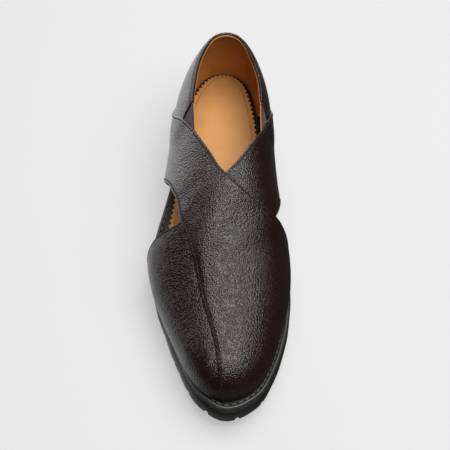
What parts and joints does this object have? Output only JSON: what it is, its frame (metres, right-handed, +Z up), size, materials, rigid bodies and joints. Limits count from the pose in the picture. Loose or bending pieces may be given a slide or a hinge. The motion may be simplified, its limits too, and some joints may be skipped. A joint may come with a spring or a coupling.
{
  "type": "peshawari chappal",
  "caption": "Open-sided leather shoe for the right foot: two vamp panels cross over the instep, with a heel counter, elastic gores and a welted lugged sole.",
  "frame": {"origin": "middle of the footprint, on the floor", "axes": "+Y from toe to heel, +X towards the inner (medial) side of the right foot, +Z up"},
  "size_m": [0.1052, 0.2946, 0.0945],
  "materials": {
    "rubber": "matte",
    "midsole_edge": "satin",
    "welt": "matte",
    "footbed_leather": "matte",
    "insole_leather": "satin",
    "upper_leather": "satin pebbled grain",
    "elastic": "matte ribbed"
  },
  "bodies": {
    "root": {"outsole": "rubber", "heel": "rubber", "midsole": "midsole_edge", "welt": "welt", "footbed": "footbed_leather", "insole": "insole_leather", "upper": "upper_leather", "gore_lateral": "elastic", "gore_medial": "elastic"}
  },
  "joints": []
}
